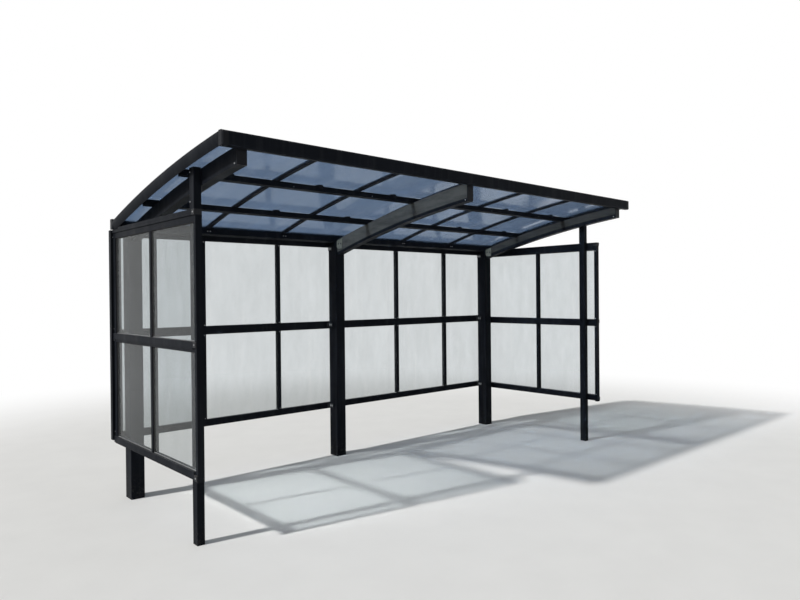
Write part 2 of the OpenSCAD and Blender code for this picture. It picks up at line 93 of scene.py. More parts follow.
# How high rain splashes the shelter's feet
SPLASH_HEIGHT = 0.22

# Light that the roof sheets let through
SHEET_LIGHT = (0.55, 0.57, 0.58)

# Colours of dust, splashes and rain marks
RUN_MARKS = (0.13, 0.135, 0.14)
COAT_DUST = (0.165, 0.17, 0.175)
SPLASHES = (0.16, 0.145, 0.12)
CAP_DUST = (0.19, 0.18, 0.165)
SEAL_DUST = (0.30, 0.31, 0.32)
SHEET_STREAKS = (0.50, 0.53, 0.55)
PANE_RAIN = (0.80, 0.80, 0.78)
CAST_DUST = (0.26, 0.25, 0.23)

# Tints of the studio's light, and the lamp's distance
LAMP_TINT = (1.0, 0.985, 0.96)
ROUND_TINT = (0.94, 0.97, 1.0)
LAMP_DISTANCE = 6.0

RIGHT = Vector((1, 0, 0))
FRONT = Vector((0, -1, 0))


# Sizes and colours a user may change

class ShelterFinish(bpy.types.PropertyGroup):
    """Colours of the shelter's materials"""
    coat: FloatVectorProperty(
        name="Powder coat", description="Colour of the coated aluminium",
        subtype="COLOR", size=3, min=0, max=1, default=(0.0080, 0.0095, 0.0130))
    coat_roughness: FloatProperty(
        name="Coat roughness", description="Roughness of the powder coat",
        subtype="FACTOR", min=0, max=1, default=0.38)
    # Painted light: a lighter, mottled grey on two beams' side faces, standing in for the light
    # falling on them
    beam_side_light: FloatVectorProperty(
        name="Beam painted light", description="Colour of the painted light on the side faces of two roof beams",
        subtype="COLOR", size=3, min=0, max=1, default=(0.078, 0.078, 0.074))
    moulded: FloatVectorProperty(
        name="Moulded caps", description="Colour of the plastic caps",
        subtype="COLOR", size=3, min=0, max=1, default=(0.0070, 0.0080, 0.0105))
    rubber: FloatVectorProperty(
        name="Seals", description="Colour of the rubber seals",
        subtype="COLOR", size=3, min=0, max=1, default=(0.006, 0.006, 0.007))
    # Partly painted light: the smoke tint is darkened and blued for the blue sky seen through the
    # sheets
    sheet: FloatVectorProperty(
        name="Roof sheet", description="Tint of the translucent roof sheets",
        subtype="COLOR", size=3, min=0, max=1, default=(0.155, 0.225, 0.345))
    pane: FloatVectorProperty(
        name="Pane", description="Tint of the clear side and back panes",
        subtype="COLOR", size=3, min=0, max=1, default=(0.66, 0.69, 0.70))
    bracket: FloatVectorProperty(
        name="Brackets", description="Colour of the cast brackets",
        subtype="COLOR", size=3, min=0, max=1, default=(0.045, 0.047, 0.050))
    # Painted shade: the end pieces in front are a darker copy of the brackets' cast grey
    end_piece: FloatVectorProperty(
        name="End pieces", description="Colour of the side panels' end pieces, darkened as painted shade",
        subtype="COLOR", size=3, min=0, max=1, default=(0.018, 0.019, 0.022))
    # Painted light: the shoes' cast grey is lightened to a grey-green, standing in for sunlight on
    # them
    shoe: FloatVectorProperty(
        name="Shoes", description="Colour of the cast shoes under the beams' rear ends, lightened as painted light",
        subtype="COLOR", size=3, min=0, max=1, default=(0.125, 0.13, 0.11))
    metal: FloatVectorProperty(
        name="Bare metal", description="Colour of the screws",
        subtype="COLOR", size=3, min=0, max=1, default=(0.45, 0.46, 0.47))
    floor: FloatVectorProperty(
        name="Floor", description="Colour of the studio floor",
        subtype="COLOR", size=3, min=0, max=1, default=(0.80, 0.80, 0.79))


class ShelterDetails(bpy.types.PropertyGroup):
    """Sizes of the fittings"""
    screw_radius: FloatProperty(
        name="Screw head", description="Radius of the pan screws' heads",
        subtype="DISTANCE", unit="LENGTH", min=0.002, max=0.008, default=0.0045)
    bolt_radius: FloatProperty(
        name="Bolt head", description="Radius of the bracket bolts' hexagon heads",
        subtype="DISTANCE", unit="LENGTH", min=0.004, max=0.012, default=0.0075)
    bead_width: FloatProperty(
        name="Pane bead", description="Width of the rubber bead round each pane",
        subtype="DISTANCE", unit="LENGTH", min=0.002, max=0.010, default=0.005)
    gasket_width: FloatProperty(
        name="Sheet gasket", description="Width of the rubber strip beside each glazing bar",
        subtype="DISTANCE", unit="LENGTH", min=0.002, max=0.008, default=0.0035)
    bar_screws: IntProperty(
        name="Screws along a bar", description="Number of screws along a glazing bar's cap",
        min=2, max=12, default=6)
    strip_height: FloatProperty(
        name="Cover strip", description="Height of the cover strips on the side panels' rails",
        subtype="DISTANCE", unit="LENGTH", min=0.030, max=0.060, default=0.046)


class ShelterCamera(bpy.types.PropertyGroup):
    """View of the photograph"""
    place: FloatVectorProperty(
        name="Place", description="Camera's place in the frame's own metres",
        subtype="TRANSLATION", unit="LENGTH", size=3, default=(-3.8505, -4.2466, 1.530))
    yaw: FloatProperty(
        name="Yaw", description="Turn of the view from +Y towards +X",
        subtype="ANGLE", default=math.radians(41.84))
    pitch: FloatProperty(
        name="Pitch", description="Rise of the view above the level",
        subtype="ANGLE", default=math.radians(-0.38))
    roll: FloatProperty(
        name="Roll", description="Turn of the image about the view",
        subtype="ANGLE", default=math.radians(0.52))
    focal_length: FloatProperty(
        name="Focal length", description="Focal length for a 36 mm wide sensor, in millimetres",
        min=10, max=200, default=29.24)


class ShelterLight(bpy.types.PropertyGroup):
    """Light of the studio"""
    direction: FloatVectorProperty(
        name="Direction", description="Way the main lamp shines",
        subtype="DIRECTION", size=3, default=(0.776, -0.122, -0.619))
    lamp: FloatProperty(
        name="Main lamp", description="Strength of the main lamp",
        min=0, max=10, default=3.25)
    softness: FloatProperty(
        name="Softness", description="Angle the main lamp takes up",
        subtype="ANGLE", default=math.radians(2.5))
    ambient: FloatProperty(
        name="Ambient", description="Strength of the even light from all round",
        min=0, max=2, default=0.25)


# Node helpers

def new_material(name):
    """A material with its shader and output, and the tree to add to."""
    material = bpy.data.materials.new(name)
    material.use_nodes = True
    tree = material.node_tree
    tree.nodes.clear()
    shader = tree.nodes.new("ShaderNodeBsdfPrincipled")
    output = tree.nodes.new("ShaderNodeOutputMaterial")
    tree.links.new(shader.outputs["BSDF"], output.inputs["Surface"])
    return material, tree, shader


def object_place(tree, stretch=(1, 1, 1), shift=(0, 0, 0)):
    """Object coordinates, stretched along the axes and then shifted."""
    coordinates = tree.nodes.new("ShaderNodeTexCoord")
    mapping = tree.nodes.new("ShaderNodeMapping")
    mapping.inputs["Location"].default_value = shift
    mapping.inputs["Scale"].default_value = stretch
    tree.links.new(coordinates.outputs["Object"], mapping.inputs["Vector"])
    return mapping.outputs["Vector"]


def noise(tree, scale, detail=4.0, roughness=0.5, stretch=(1, 1, 1)):
    """Noise in object space, stretched along the axes."""
    texture = tree.nodes.new("ShaderNodeTexNoise")
    texture.inputs["Scale"].default_value = scale
    texture.inputs["Detail"].default_value = detail
    texture.inputs["Roughness"].default_value = roughness
    tree.links.new(object_place(tree, stretch), texture.inputs["Vector"])
    return texture.outputs["Fac"]


def ramp(tree, value, low, high, dark, light):
    """Colour from dark to light as value goes from low to high."""
    node = tree.nodes.new("ShaderNodeValToRGB")
    node.color_ramp.elements[0].position = low
    node.color_ramp.elements[1].position = high
    node.color_ramp.elements[0].color = (*dark, 1)
    node.color_ramp.elements[1].color = (*light, 1)
    tree.links.new(value, node.inputs["Fac"])
    return node.outputs["Color"]


def span(tree, value, low, high, start, end, smooth=False):
    """Number from start to end as value goes from low to high."""
    node = tree.nodes.new("ShaderNodeMapRange")
    if smooth:
        node.interpolation_type = "SMOOTHSTEP"
    node.inputs["From Min"].default_value = low
    node.inputs["From Max"].default_value = high
    node.inputs["To Min"].default_value = start
    node.inputs["To Max"].default_value = end
    tree.links.new(value, node.inputs["Value"])
    return node.outputs["Result"]


def calc(tree, operation, first, second):
    """Maths on two sockets."""
    node = tree.nodes.new("ShaderNodeMath")
    node.operation = operation
    tree.links.new(first, node.inputs[0])
    tree.links.new(second, node.inputs[1])
    return node.outputs["Value"]


def coordinate(tree, vector, axis):
    """One coordinate of a vector."""
    node = tree.nodes.new("ShaderNodeSeparateXYZ")
    tree.links.new(vector, node.inputs["Vector"])
    return node.outputs[axis]


def length(tree, vector):
    """Length of a vector."""
    node = tree.nodes.new("ShaderNodeVectorMath")
    node.operation = "LENGTH"
    tree.links.new(vector, node.inputs[0])
    return node.outputs["Value"]


def mix(tree, factor, first, second):
    """Colour mix of a socket with a colour."""
    node = tree.nodes.new("ShaderNodeMix")
    node.data_type = "RGBA"
    colours = [socket for socket in node.inputs if socket.type == "RGBA"]
    tree.links.new(factor, node.inputs["Factor"])
    tree.links.new(first, colours[0])
    colours[1].default_value = (*second, 1)
    return next(socket for socket in node.outputs if socket.type == "RGBA")


def bump(tree, shader, height, distance, strength=1.0):
    """Relief on a shader."""
    node = tree.nodes.new("ShaderNodeBump")
    node.inputs["Distance"].default_value = distance
    node.inputs["Strength"].default_value = strength
    tree.links.new(height, node.inputs["Height"])
    tree.links.new(node.outputs["Normal"], shader.inputs["Normal"])


def shade(color, factor):
    """A colour made darker or lighter."""
    return tuple(min(1.0, channel * factor) for channel in color[:3])


def face_normal(tree, axis):
    """One coordinate of a face's normal."""
    return coordinate(tree, tree.nodes.new("ShaderNodeNewGeometry").outputs["Normal"], axis)


def lifted(tree, low=0.55, high=1.0):
    """How far a face looks upward, 0 to 1."""
    return span(tree, face_normal(tree, "Z"), low, high, 0.0, 1.0)


def facing_side(tree):
    """How far a face looks along X, either way, 0 to 1."""
    sideways = face_normal(tree, "X")
    return span(tree, calc(tree, "MULTIPLY", sideways, sideways), 0.8, 1.0, 0.0, 1.0)


def near_feet(tree, height):
    """1 at the shelter's feet, 0 above a height."""
    return span(tree, coordinate(tree, object_place(tree), "Z"), 0.0, height, 1.0, 0.0)


def near_front(tree):
    """1 in front of the shelter's middle, 0 behind it."""
    return span(tree, coordinate(tree, object_place(tree), "Y"), -0.1, 0.0, 1.0, 0.0)


def above_arch(tree, depth, fade=0.004):
    """1 down to a depth below the beams' top line, 0 beneath it."""
    line = ARCH_RADIUS - depth
    reach = length(tree, object_place(tree, (0, 1, 1), (0, -ARCH_Y, -ARCH_Z)))
    return span(tree, reach, line - fade, line + fade, 0.0, 1.0)


def choose_shader(tree, factor, first, second):
    """Shows the second shader where the factor is 1, and the first where it is 0."""
    choose = tree.nodes.new("ShaderNodeMixShader")
    output = next(node for node in tree.nodes if node.type.startswith("OUTPUT"))
    tree.links.new(factor, choose.inputs["Fac"])
    tree.links.new(first.outputs[0], choose.inputs[1])
    tree.links.new(second.outputs[0], choose.inputs[2])
    tree.links.new(choose.outputs["Shader"], output.inputs["Surface"])


def let_lamps_through(tree, shader, tint):
    """Lets the lamps shine through a sheet, tinted, so what stands behind it is lit."""
    path = tree.nodes.new("ShaderNodeLightPath")
    clear = tree.nodes.new("ShaderNodeBsdfTransparent")
    clear.inputs["Color"].default_value = (*tint, 1)
    choose_shader(tree, path.outputs["Is Shadow Ray"], shader, clear)


# Materials

def powder_coat(finish, name="Black powder coat", side_light=None, light_depth=0.0):
    """Satin black coat: fine orange peel, run marks, dust on top, splashes near the feet, and where
    given, painted light on the side faces.
    """
    material, tree, shader = new_material(name)
    base = tuple(finish.coat)
    cloud = noise(tree, 3.0, 5.0, 0.6)
    tone = ramp(tree, cloud, 0.3, 0.7, shade(base, 0.85), shade(base, 1.2))
    runs = span(tree, noise(tree, 16.0, 6.0, 0.65, (1, 1, 0.06)), 0.50, 0.80, 0.0, 0.10)
    marked = mix(tree, runs, tone, RUN_MARKS)
    grain = span(tree, noise(tree, 40.0, 6.0, 0.7), 0.35, 0.75, 0.10, 0.38)
    dusty = mix(tree, calc(tree, "MULTIPLY", lifted(tree), grain), marked, COAT_DUST)
    splash = calc(tree, "MULTIPLY", near_feet(tree, SPLASH_HEIGHT),
                  span(tree, noise(tree, 70.0, 8.0, 0.75), 0.50, 0.72, 0.0, 0.35))
    coated = mix(tree, splash, dusty, SPLASHES)
    # Painted light: faces that look along X, down to a depth below the arch's top line, get a
    # lighter mottled grey
    if side_light:
        cover = span(tree, noise(tree, 6.0, 8.0, 0.7, (1, 0.5, 2.5)), 0.30, 0.60, 0.45, 1.0)
        upper = calc(tree, "MULTIPLY", facing_side(tree), above_arch(tree, light_depth))
        coated = mix(tree, calc(tree, "MULTIPLY", upper, cover), coated, side_light)
    tree.links.new(coated, shader.inputs["Base Color"])
    low, high = finish.coat_roughness - 0.05, finish.coat_roughness + 0.08
    haze = span(tree, noise(tree, 9.0, 5.0, 0.6), 0.3, 0.7, low, high)
    tree.links.new(haze, shader.inputs["Roughness"])
    shader.inputs["Specular IOR Level"].default_value = 0.018
    bump(tree, shader, noise(tree, 900.0, 2.0, 0.5), 0.00012, 0.35)
    return material


def middle_beam_lit_coat(finish):
    """The same coat on the middle beam, with painted light on the upper part of its side faces: a
    lighter, mottled grey.
    """
    # Painted light: the lighter grey put on the side faces
    dust = tuple(finish.beam_side_light)
    return powder_coat(finish, "Middle beam coat with painted light", dust, MIDDLE_BEAM_LIGHT_DEPTH)


def right_beam_lit_coat(finish):
    """The same coat on the right beam, with weaker painted light on the upper part of its side
    faces.
    """
    # Painted light, made weaker here: a darker copy of the middle beam's
    dust = shade(finish.beam_side_light, 0.6)
    return powder_coat(finish, "Right beam coat with painted light", dust, RIGHT_BEAM_LIGHT_DEPTH)


def moulded_plastic(finish):
    """Black moulded plastic, a little rougher than the coat, with a fine mould grain."""
    material, tree, shader = new_material("Black moulded plastic")
    base = tuple(finish.moulded)
    tone = ramp(tree, noise(tree, 12.0, 5.0, 0.6), 0.3, 0.7, shade(base, 0.9), shade(base, 1.5))
    grain = span(tree, noise(tree, 50.0, 6.0, 0.7), 0.35, 0.75, 0.05, 0.30)
    dusty = mix(tree, calc(tree, "MULTIPLY", lifted(tree), grain), tone, CAP_DUST)
    tree.links.new(dusty, shader.inputs["Base Color"])
    tree.links.new(span(tree, noise(tree, 60.0), 0.3, 0.7, 0.36, 0.50), shader.inputs["Roughness"])
    shader.inputs["Specular IOR Level"].default_value = 0.08
    bump(tree, shader, noise(tree, 1400.0, 3.0, 0.6), 0.0001, 0.4)
    return material


def seal_rubber(finish):
    """Dull black rubber of the beads and gaskets, greyed a little where it has weathered."""
    material, tree, shader = new_material("Black seal rubber")
    base = tuple(finish.rubber)
    tone = ramp(tree, noise(tree, 25.0, 6.0, 0.65), 0.3, 0.75, shade(base, 0.8), shade(base, 2.4))
    grain = span(tree, noise(tree, 30.0, 6.0, 0.7), 0.30, 0.70, 0.55, 1.0)
    settled = calc(tree, "MULTIPLY", lifted(tree, 0.15, 0.8), grain)
    tree.links.new(mix(tree, settled, tone, SEAL_DUST), shader.inputs["Base Color"])
    tree.links.new(span(tree, noise(tree, 120.0), 0.3, 0.7, 0.60, 0.78), shader.inputs["Roughness"])
    shader.inputs["Specular IOR Level"].default_value = 0.25
    bump(tree, shader, noise(tree, 1100.0, 3.0, 0.6), 0.0001, 0.4)
    return material


def roof_sheet(finish):
    """Smoke blue-grey sheet, translucent, with settled dust and a faint ripple; its tint is partly
    painted light, darkened and blued for the blue sky seen through it.
    """
    material, tree, shader = new_material("Smoke roof sheet")
    base = tuple(finish.sheet)
    dust = noise(tree, 5.0, 8.0, 0.62, (1, 0.35, 1))
    tone = ramp(tree, dust, 0.35, 0.75, shade(base, 0.92), shade(base, 1.14))
    streaks = span(tree, noise(tree, 22.0, 6.0, 0.6, (1, 0.05, 0.05)), 0.52, 0.80, 0.0, 0.22)
    tree.links.new(mix(tree, streaks, tone, SHEET_STREAKS), shader.inputs["Base Color"])
    tree.links.new(span(tree, dust, 0.35, 0.75, 0.08, 0.20), shader.inputs["Roughness"])
    shader.inputs["IOR"].default_value = 1.2
    shader.inputs["Transmission Weight"].default_value = 0.86
    shader.inputs["Specular IOR Level"].default_value = 0.5
    bump(tree, shader, noise(tree, 2.5, 3.0, 0.5), 0.002, 0.25)
    let_lamps_through(tree, shader, SHEET_LIGHT)
    return material


def clear_pane(finish):
    """Clear, slightly smoky sheet with soft waves, light dirt and rain marks."""
    material, tree, shader = new_material("Clear smoky pane")
    base = tuple(finish.pane)
    dirt = noise(tree, 7.0, 8.0, 0.65, (1, 1, 0.4))
    tone = ramp(tree, dirt, 0.35, 0.8, shade(base, 0.95), shade(base, 1.06))
    rain = span(tree, noise(tree, 30.0, 6.0, 0.6, (1, 1, 0.05)), 0.55, 0.80, 0.0, 0.25)
    tree.links.new(mix(tree, rain, tone, PANE_RAIN), shader.inputs["Base Color"])
    tree.links.new(span(tree, dirt, 0.4, 0.8, 0.01, 0.05), shader.inputs["Roughness"])
    shader.inputs["IOR"].default_value = 1.12
    shader.inputs["Transmission Weight"].default_value = 0.97
    bump(tree, shader, noise(tree, 1.8, 2.0, 0.4, (1, 1, 2)), 0.004, 0.3)
    let_lamps_through(tree, shader, base)
    return material


def cast_grey(finish, name="Grey cast metal", colour=None):
    """Grey cast metal of the brackets, weathered dull. The end pieces in front are a darker copy of
    it, painted shade.
    """
    material, tree, shader = new_material(name)
    base = tuple(colour or finish.bracket)
    cast = ramp(tree, noise(tree, 35.0, 6.0, 0.65), 0.3, 0.7, shade(base, 0.75), shade(base, 1.3))
    # Painted shade: pieces in front of the shelter's middle take the darker end piece colour
    tone = mix(tree, near_front(tree), cast, finish.end_piece)
    grain = span(tree, noise(tree, 60.0, 6.0, 0.7), 0.35, 0.75, 0.1, 0.4)
    dusty = mix(tree, calc(tree, "MULTIPLY", lifted(tree), grain), tone, CAST_DUST)
    tree.links.new(dusty, shader.inputs["Base Color"])
    tree.links.new(span(tree, noise(tree, 160.0), 0.3, 0.7, 0.40, 0.58), shader.inputs["Roughness"])
    shader.inputs["Metallic"].default_value = 0.05
    shader.inputs["Specular IOR Level"].default_value = 0.12
    bump(tree, shader, noise(tree, 600.0, 4.0, 0.6), 0.00018, 0.4)
    return material


def cast_painted_light(finish):
    """The cast metal of the beams' shoes, lightened to a grey-green as painted light."""
    return cast_grey(finish, "Cast metal with painted light", tuple(finish.shoe))


def bare_metal(finish):
    """Plain satin screw metal, brushed fine and weathered grey."""
    material, tree, shader = new_material("Bare screw metal")
    base = tuple(finish.metal)
    tone = ramp(tree, noise(tree, 90.0, 6.0, 0.6), 0.3, 0.7, shade(base, 0.75), shade(base, 1.15))
    tree.links.new(tone, shader.inputs["Base Color"])
    shader.inputs["Metallic"].default_value = 0.85
    tree.links.new(span(tree, noise(tree, 260.0), 0.3, 0.7, 0.3, 0.5), shader.inputs["Roughness"])
    bump(tree, shader, noise(tree, 900.0, 3.0, 0.6, (1, 8, 1)), 0.00006, 0.3)
    return material


def seen_ray(tree):
    """1 for what the camera sees, straight, in gloss or through a sheet."""
    path = tree.nodes.new("ShaderNodeLightPath")
    straight = calc(tree, "MAXIMUM", path.outputs["Is Camera Ray"], path.outputs["Is Glossy Ray"])
    return calc(tree, "MAXIMUM", straight, path.outputs["Is Transmission Ray"])


def studio_floor(finish, plain_from, plain_to):
    """Pale floor with a fine grain. Away from the object it fades into the white background."""
    material, tree, shader = new_material("Pale floor")
    base = tuple(finish.floor)
    tone = ramp(tree, noise(tree, 3.0, 5.0), 0.3, 0.7, shade(base, 0.985), shade(base, 1.015))
    tree.links.new(tone, shader.inputs["Base Color"])
    shader.inputs["Roughness"].default_value = 0.9
    shader.inputs["Specular IOR Level"].default_value = 0.1
    distance = length(tree, object_place(tree))
    fade = span(tree, distance, plain_from, plain_to, 0.0, 1.0, smooth=True)
    white = tree.nodes.new("ShaderNodeEmission")
    choose_shader(tree, calc(tree, "MULTIPLY", fade, seen_ray(tree)), shader, white)
    return material


def finish_nodes(nodes, material):
    """Puts a material on some CAD nodes."""
    for name in nodes:
        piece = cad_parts[name]
        for slot in piece.material_slots:
            slot.material = material
        if not piece.material_slots:
            piece.data.materials.append(material)


# Mesh helpers

SCREW_SEGMENTS = 16
# Share of its radius at which each point of a screw's cross recess lies
CROSS = (1.0, 0.36, 0.30, 0.36)
# How far what stands on a face reaches into it
SEAT = 0.0005
# Edges of the fittings that turn by more than this many degrees stay sharp
SHARP = 35


def solid_boxes(node):
    """Lowest and highest corner of each solid in a CAD node, sorted."""
    solid = bmesh.new()
    solid.from_mesh(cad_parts[node].data)
    bmesh.ops.remove_doubles(solid, verts=solid.verts, dist=0.0001)
    left = set(solid.verts)
    boxes = []
    for vert in solid.verts:
        if vert not in left:
            continue
        left.remove(vert)
        reached = [vert]
        for start in reached:
            for edge in start.link_edges:
                other = edge.other_vert(start)
                if other in left:
                    left.remove(other)
                    reached.append(other)
        places = [tuple(corner.co) for corner in reached]
        boxes.append((tuple(map(min, *places)), tuple(map(max, *places))))
    solid.free()
    return sorted(boxes)


def middle(low, high):
    """Middle between two numbers."""
    return (low + high) / 2


def arch_ways(y):
    """Ways out of the arch and back along it, where its top line is at a depth."""
    reach = y - ARCH_Y
    out = Vector((0, reach, math.sqrt(ARCH_RADIUS ** 2 - reach ** 2))) / ARCH_RADIUS
    return out, Vector((0, out.z, -out.y))


def on_arch(x, y, rise=0.0, along=0.0):
    """Point of the arch's top line at a depth, moved out of the arch and back along it."""
    out, back = arch_ways(y)
    return Vector((x, ARCH_Y, ARCH_Z)) + out * (ARCH_RADIUS + rise) + back * along


def arch_path(x, start, end, steps=28):
    """Points along the beams' top line from one depth to another."""
    return [on_arch(x, start + (end - start) * i / steps) for i in range(steps + 1)]


def corner_arc(x, y, z, radius, start, steps=6):
    """Quarter circle about a point in the plane of a side face, turning down from an angle."""
    angles = [math.radians(start - 90 * i / steps) for i in range(steps + 1)]
    return [Vector((x, y + radius * math.cos(angle), z + radius * math.sin(angle)))
            for angle in angles]


def join_rings(work, rings, closed=False):
    """Faces between rings of points, with a face on each end unless the rings close up."""
    following = rings[1:] + (rings[:1] if closed else [])
    for first, second in zip(rings, following):
        for k in range(len(first)):
            work.faces.new((first[k - 1], first[k], second[k], second[k - 1]))
    if not closed:
        work.faces.new(rings[0])
        work.faces.new(rings[-1])


def sweep(work, path, normal, section, closed=False):
    """Sweeps a section along a flat path. Its points are (left of the path, along the normal)."""
    count = len(path)
    rings = []
    for i, point in enumerate(path):
        sides = []
        if closed or i:
            sides.append(normal.cross(point - path[i - 1]).normalized())
        if closed or i < count - 1:
            sides.append(normal.cross(path[(i + 1) % count] - point).normalized())
        side = sum(sides, Vector((0, 0, 0))).normalized()
        side /= side.dot(sides[0])
        rings.append([work.verts.new(point + side * across + normal * up)
                      for across, up in section])
    join_rings(work, rings, closed)


def turned(work, place, axis, profile, segments=SCREW_SEGMENTS, crossed=()):
    """Turns a profile of (radius, height) about an axis. Rings numbered in crossed are crosses."""
    turn = axis.to_track_quat("Z", "Y")
    rings = []
    for number, (radius, height) in enumerate(profile):
        ring = []
        for i in range(segments):
            reach = radius * (CROSS[i % len(CROSS)] if number in crossed else 1)
            angle = math.tau * i / segments
            spot = Vector((reach * math.cos(angle), reach * math.sin(angle), height))
            ring.append(work.verts.new(place + turn @ spot))
        rings.append(ring)
    join_rings(work, rings)


def add_screw(work, place, axis, radius):
    """Pan head with a cross recess, standing on a face."""
    height = radius * 0.62
    turned(work, place, axis, (
        (radius, -0.2 * height), (radius, 0.35 * height), (0.88 * radius, 0.78 * height),
        (0.64 * radius, height), (0.56 * radius, height), (0.48 * radius, 0.45 * height),
    ), crossed=(4, 5))


def add_bolt(work, place, axis, radius):
    """Hexagon head on a round washer."""
    washer = radius * 1.7
    rim = ((washer, -SEAT), (washer, 0.0010), (washer - 0.0004, 0.0015))
    turned(work, place, axis, rim, 24)
    turned(work, place, axis, (
        (radius, 0.0013), (radius, 0.62 * radius), (0.88 * radius, 0.72 * radius)), 6)


def add_block(work, centre, size, turn=Matrix.Identity(3), bevel=0.001):
    """Block with rounded edges."""
    corners = set(bmesh.ops.create_cube(work, size=1.0)["verts"])
    matrix = Matrix.Translation(centre) @ turn.to_4x4() @ Matrix.Diagonal((*size, 1))
    bmesh.ops.transform(work, matrix=matrix, verts=list(corners))
    edges = [edge for edge in work.edges if edge.verts[0] in corners]
    bmesh.ops.bevel(work, geom=edges, offset=bevel, segments=2, profile=0.5, affect="EDGES")


def add_plate(work, outline, axis, thickness, edge=0.0015):
    """Plate that stands on a face, with a chamfered outer edge."""
    centre = sum(outline, Vector((0, 0, 0))) / len(outline)
    rings = []
    for height, inset in ((-SEAT, 0), (thickness - edge, 0), (thickness, edge)):
        rings.append([
            work.verts.new(point + axis * height + (centre - point).normalized() * inset)
            for point in outline])
    join_rings(work, rings)


def new_piece(name, work, material):
    """Makes a piece of what was built, fixed to the shelter."""
    bmesh.ops.recalc_face_normals(work, faces=work.faces)
    mesh = bpy.data.meshes.new(name)
    work.to_mesh(mesh)
    work.free()
    mesh.shade_smooth()
    mesh.set_sharp_from_angle(angle=math.radians(SHARP))
    mesh.materials.append(material)
    piece = bpy.data.objects.new(name, mesh)
    bpy.context.collection.objects.link(piece)
    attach(piece, "root")
    return piece


def shared(name, make):
    """A material of this name, made once."""
    return bpy.data.materials.get(name) or make(bpy.context.scene.shelter_finish)


def rubber():
    """Material of the beads and gaskets."""
    return shared("Black seal rubber", seal_rubber)


def black_plastic():
    """Material of the caps, the clips and the clips' screws."""
    return shared("Black moulded plastic", moulded_plastic)


def screw_metal():
    """Material of the screws and the brackets' bolts."""
    return shared("Bare screw metal", bare_metal)


def cast_metal():
    """Material of the brackets, the end pieces and the shoes' bolts."""
    return shared("Grey cast metal", cast_grey)


# Operators that finish the CAD nodes

class ShelterOperator(bpy.types.Operator):
    """Base of the shelter's operators"""
    bl_options = {"REGISTER"}


class SHELTER_OT_coat_frame(ShelterOperator):
    """Coat the aluminium frame black"""
    bl_idname = "shelter.coat_frame"
    bl_label = "Coat the frame"

    def execute(self, context):
        finish_nodes(FRAME_NODES, shared("Black powder coat", powder_coat))
        finish_nodes(BEAMS[1:2], shared("Middle beam coat with painted light", middle_beam_lit_coat))
        finish_nodes(BEAMS[2:], shared("Right beam coat with painted light", right_beam_lit_coat))
        return {"FINISHED"}


class SHELTER_OT_finish_caps(ShelterOperator):
    """Give the moulded caps their plastic"""
    bl_idname = "shelter.finish_caps"
    bl_label = "Finish the caps"

    def execute(self, context):
        finish_nodes(CAP_NODES, black_plastic())
        return {"FINISHED"}


class SHELTER_OT_tint_roof_sheets(ShelterOperator):
    """Tint the translucent roof sheets"""
    bl_idname = "shelter.tint_roof_sheets"
    bl_label = "Tint the roof sheets"

    def execute(self, context):
        finish_nodes(SHEET_NODES, shared("Smoke roof sheet", roof_sheet))
        return {"FINISHED"}


class SHELTER_OT_clear_panes(ShelterOperator):
    """Give the side and back panes their clear sheet"""
    bl_idname = "shelter.clear_panes"
    bl_label = "Clear the panes"

    def execute(self, context):
        finish_nodes(SIDE_PANE_NODES + BACK_PANE_NODES, shared("Clear smoky pane", clear_pane))
        return {"FINISHED"}


class SHELTER_OT_finish_brackets(ShelterOperator):
    """Give the rail brackets and end pieces their cast grey"""
    bl_idname = "shelter.finish_brackets"
    bl_label = "Finish the brackets"

    def execute(self, context):
        finish_nodes(BRACKET_NODES, cast_metal())
        return {"FINISHED"}


# Operators that add the fittings

def pane_opening(low, high, thin):
    """Corners of a pane's clear opening, counterclockwise seen against its thin axis."""
    wide, tall = (1, 2) if thin == 0 else (2, 0)
    ends = [(low[axis] + PANE_BITE, high[axis] - PANE_BITE) for axis in (wide, tall)]
    corners = []
    for i, j in ((0, 0), (1, 0), (1, 1), (0, 1)):
        corner = Vector((0, 0, 0))
        corner[wide], corner[tall] = ends[0][i], ends[1][j]
        corners.append(corner)
    return corners


class SHELTER_OT_fit_pane_beads(ShelterOperator):
    """Fit the rubber beads round the panes, on both faces"""
    bl_idname = "shelter.fit_pane_beads"
    bl_label = "Fit the pane beads"

    def execute(self, context):
        width = context.scene.shelter_details.bead_width
        section = ((-SEAT, 0), (width, 0), (width, 0.2 * width), (0.6 * width, 0.7 * width),
                   (0.1 * width, width), (-SEAT, width))
        for group, nodes, thin in (
                ("back", BACK_PANE_NODES, 1), ("left", SIDE_PANE_NODES[:1], 0),
                ("right", SIDE_PANE_NODES[1:], 0)):
            work = bmesh.new()
            for node in nodes:
                for low, high in solid_boxes(node):
                    corners = pane_opening(low, high, thin)
                    for face, way in ((low[thin], -1), (high[thin], 1)):
                        normal = Vector((0, 0, 0))
                        normal[thin] = way
                        path = [corner + normal * way * face for corner in corners[::way]]
                        sweep(work, path, normal, section, closed=True)
            new_piece(f"pane_beads_{group}", work, rubber())
        return {"FINISHED"}


